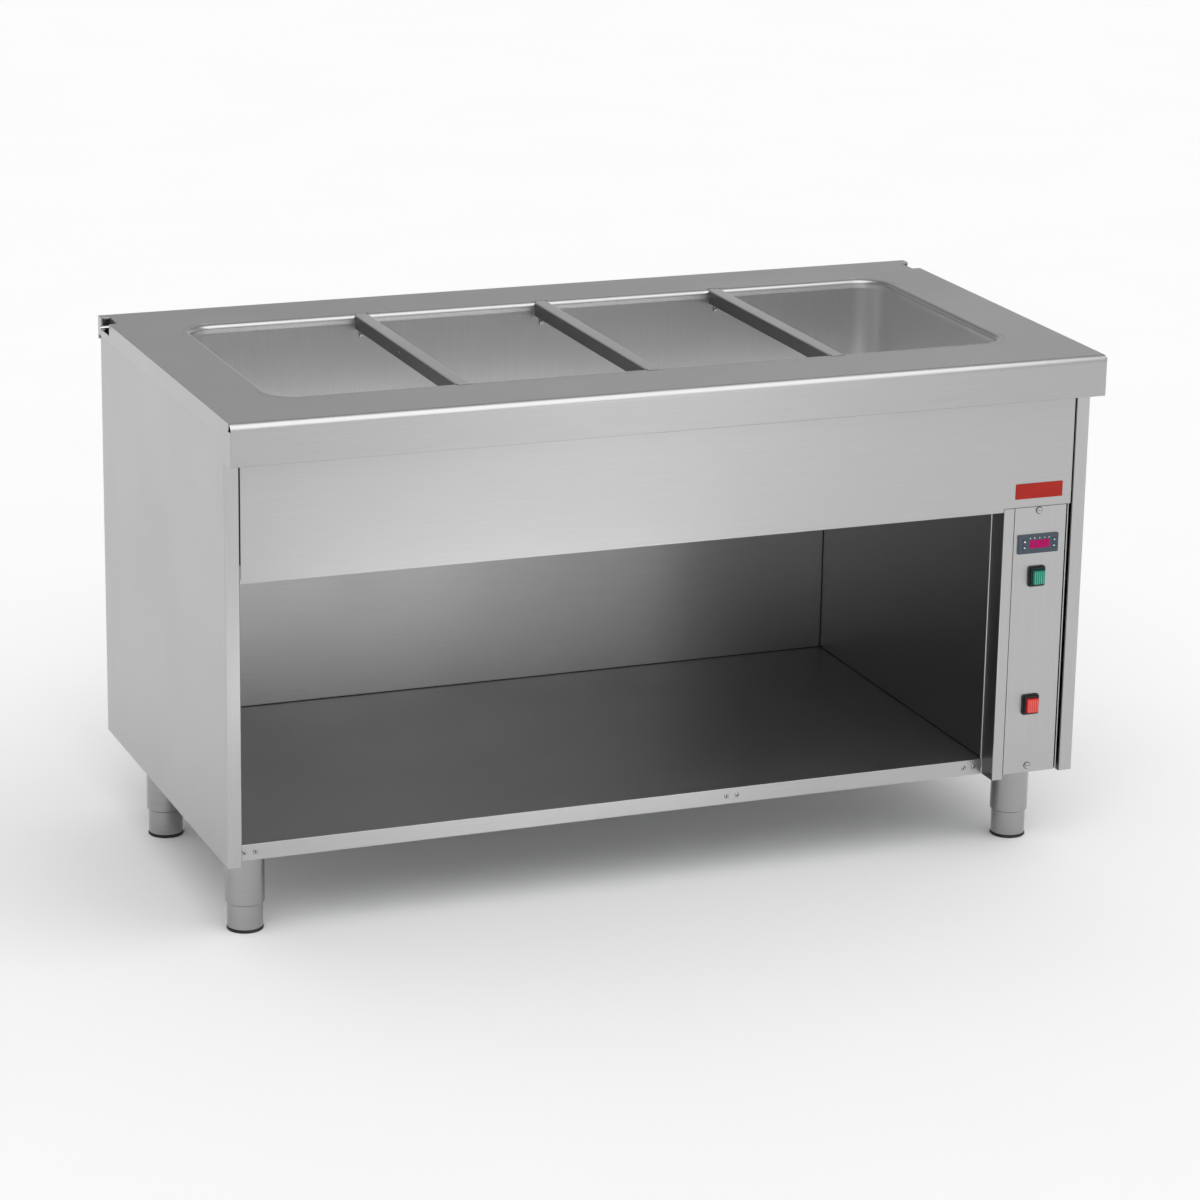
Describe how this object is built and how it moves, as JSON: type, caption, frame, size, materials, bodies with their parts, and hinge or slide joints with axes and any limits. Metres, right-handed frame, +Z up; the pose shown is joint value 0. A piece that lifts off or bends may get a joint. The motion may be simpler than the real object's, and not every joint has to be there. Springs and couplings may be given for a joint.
{
  "type": "bain-marie counter",
  "caption": "Free-standing stainless bain-marie counter: a heated water well for food pans over an open cabinet, with a control column and levelling legs.",
  "frame": {"origin": "on the floor under the middle of the counter", "axes": "+X to the right of someone at the open front, +Y to the back, +Z up"},
  "size_m": [1.5085, 0.78, 0.88],
  "materials": {
    "deck_stainless": "satin, fine brushed grain",
    "panel_stainless": "satin, fine brushed grain",
    "cabinet_stainless": "satin, fine brushed grain",
    "well_stainless": "satin, deep drawn",
    "bar_stainless": "satin",
    "leg_stainless": "turned satin",
    "galvanised": "galvanised",
    "bolt_steel": "bright zinc plated",
    "element_steel": "heat tinted",
    "mineral_wool": "matte felted",
    "drain_steel": "satin",
    "valve_brass": "satin",
    "lever_red": "dipped, glossy",
    "plate_red": "smooth enamel",
    "case_slate": "fine moulded",
    "window_crimson": "clear tinted",
    "key_slate": "moulded",
    "housing_black": "fine moulded",
    "terminal_grey": "moulded",
    "rocker_green": "lit, ribbed",
    "rocker_red": "lit, ribbed",
    "pad_rubber": "moulded"
  },
  "bodies": {
    "root": {"back_panel": "cabinet_stainless", "base_rails": "galvanised", "cabinet_ceiling": "cabinet_stainless", "cable_gland": "housing_black", "column_floor": "galvanised", "contactor": "housing_black", "control_column": "panel_stainless", "control_cover": "panel_stainless", "controller_case": "case_slate", "counter_deck": "deck_stainless", "cover_frame": "cabinet_stainless", "cover_screws": "bolt_steel", "deck_edges": "deck_stainless", "deck_rim": "deck_stainless", "deck_stiffeners": "galvanised", "display_window": "window_crimson", "drain_fitting": "drain_steel", "drain_pipe": "drain_steel", "drain_strainer": "drain_steel", "drain_valve_body": "valve_brass", "fascia_rail": "panel_stainless", "front_fascia": "panel_stainless", "leg_bolts": "bolt_steel", "leg_sleeves": "leg_stainless", "link_bolt": "bolt_steel", "link_brackets": "galvanised", "name_plate": "plate_red", "partition_wall": "cabinet_stainless", "safety_thermostat": "housing_black", "shelf_panel": "cabinet_stainless", "shelf_rivets": "bolt_steel", "side_liner_left": "cabinet_stainless", "side_liner_right": "cabinet_stainless", "side_panel_left": "panel_stainless", "side_panel_right": "panel_stainless", "switch_housing_green": "housing_black", "switch_housing_red": "housing_black", "tank_probe": "element_steel", "terminal_block": "terminal_grey", "well_heaters": "element_steel", "well_insulation": "mineral_wool", "well_tank": "well_stainless"},
    "bar_left": {"pan_bar_left": "bar_stainless"},
    "bar_centre": {"pan_bar_centre": "bar_stainless"},
    "bar_right": {"pan_bar_right": "bar_stainless"},
    "rocker_green": {"rocker_green": "rocker_green"},
    "rocker_red": {"rocker_red": "rocker_red"},
    "key_1": {"controller_key_1": "key_slate"},
    "key_2": {"controller_key_2": "key_slate"},
    "key_3": {"controller_key_3": "key_slate"},
    "key_4": {"controller_key_4": "key_slate"},
    "valve_lever": {"drain_valve_lever": "lever_red"},
    "foot_front_left": {"leg_foot_front_left": "leg_stainless", "foot_pad_front_left": "pad_rubber"},
    "foot_front_right": {"leg_foot_front_right": "leg_stainless", "foot_pad_front_right": "pad_rubber"},
    "foot_rear_left": {"leg_foot_rear_left": "leg_stainless", "foot_pad_rear_left": "pad_rubber"},
    "foot_rear_right": {"leg_foot_rear_right": "leg_stainless", "foot_pad_rear_right": "pad_rubber"}
  },
  "joints": [
    {"name": "bar_left_lift", "type": "slide", "parent": "root", "child": "bar_left", "axis": [0, 0, 1], "range_m": [0, 0.08]},
    {"name": "bar_centre_lift", "type": "slide", "parent": "root", "child": "bar_centre", "axis": [0, 0, 1], "range_m": [0, 0.08]},
    {"name": "bar_right_lift", "type": "slide", "parent": "root", "child": "bar_right", "axis": [0, 0, 1], "range_m": [0, 0.08]},
    {"name": "rocker_green_tip", "type": "hinge", "parent": "root", "child": "rocker_green", "pos_m": [0.662, -0.3483, 0.4975], "axis": [1, 0, 0], "range_deg": [0, 12]},
    {"name": "rocker_red_tip", "type": "hinge", "parent": "root", "child": "rocker_red", "pos_m": [0.662, -0.3483, 0.2715], "axis": [1, 0, 0], "range_deg": [0, 12]},
    {"name": "key_1_press", "type": "slide", "parent": "root", "child": "key_1", "axis": [0, 1, 0], "range_m": [0, 0.0005], "stiffness_N_per_m": 1000},
    {"name": "key_2_press", "type": "slide", "parent": "root", "child": "key_2", "axis": [0, 1, 0], "range_m": [0, 0.0005], "stiffness_N_per_m": 1000},
    {"name": "key_3_press", "type": "slide", "parent": "root", "child": "key_3", "axis": [0, 1, 0], "range_m": [0, 0.0005], "stiffness_N_per_m": 1000},
    {"name": "key_4_press", "type": "slide", "parent": "root", "child": "key_4", "axis": [0, 1, 0], "range_m": [0, 0.0005], "stiffness_N_per_m": 1000},
    {"name": "foot_front_left_screw", "type": "slide", "parent": "root", "child": "foot_front_left", "axis": [0, 0, -1], "range_m": [-0.025, 0.035]},
    {"name": "foot_front_right_screw", "type": "slide", "parent": "root", "child": "foot_front_right", "axis": [0, 0, -1], "range_m": [-0.025, 0.035]},
    {"name": "foot_rear_left_screw", "type": "slide", "parent": "root", "child": "foot_rear_left", "axis": [0, 0, -1], "range_m": [-0.025, 0.035]},
    {"name": "foot_rear_right_screw", "type": "slide", "parent": "root", "child": "foot_rear_right", "axis": [0, 0, -1], "range_m": [-0.025, 0.035]},
    {"name": "valve_lever_turn", "type": "hinge", "parent": "root", "child": "valve_lever", "pos_m": [0.66, 0.127, 0.085], "axis": [0, -1, 0], "range_deg": [0, 90]}
  ]
}
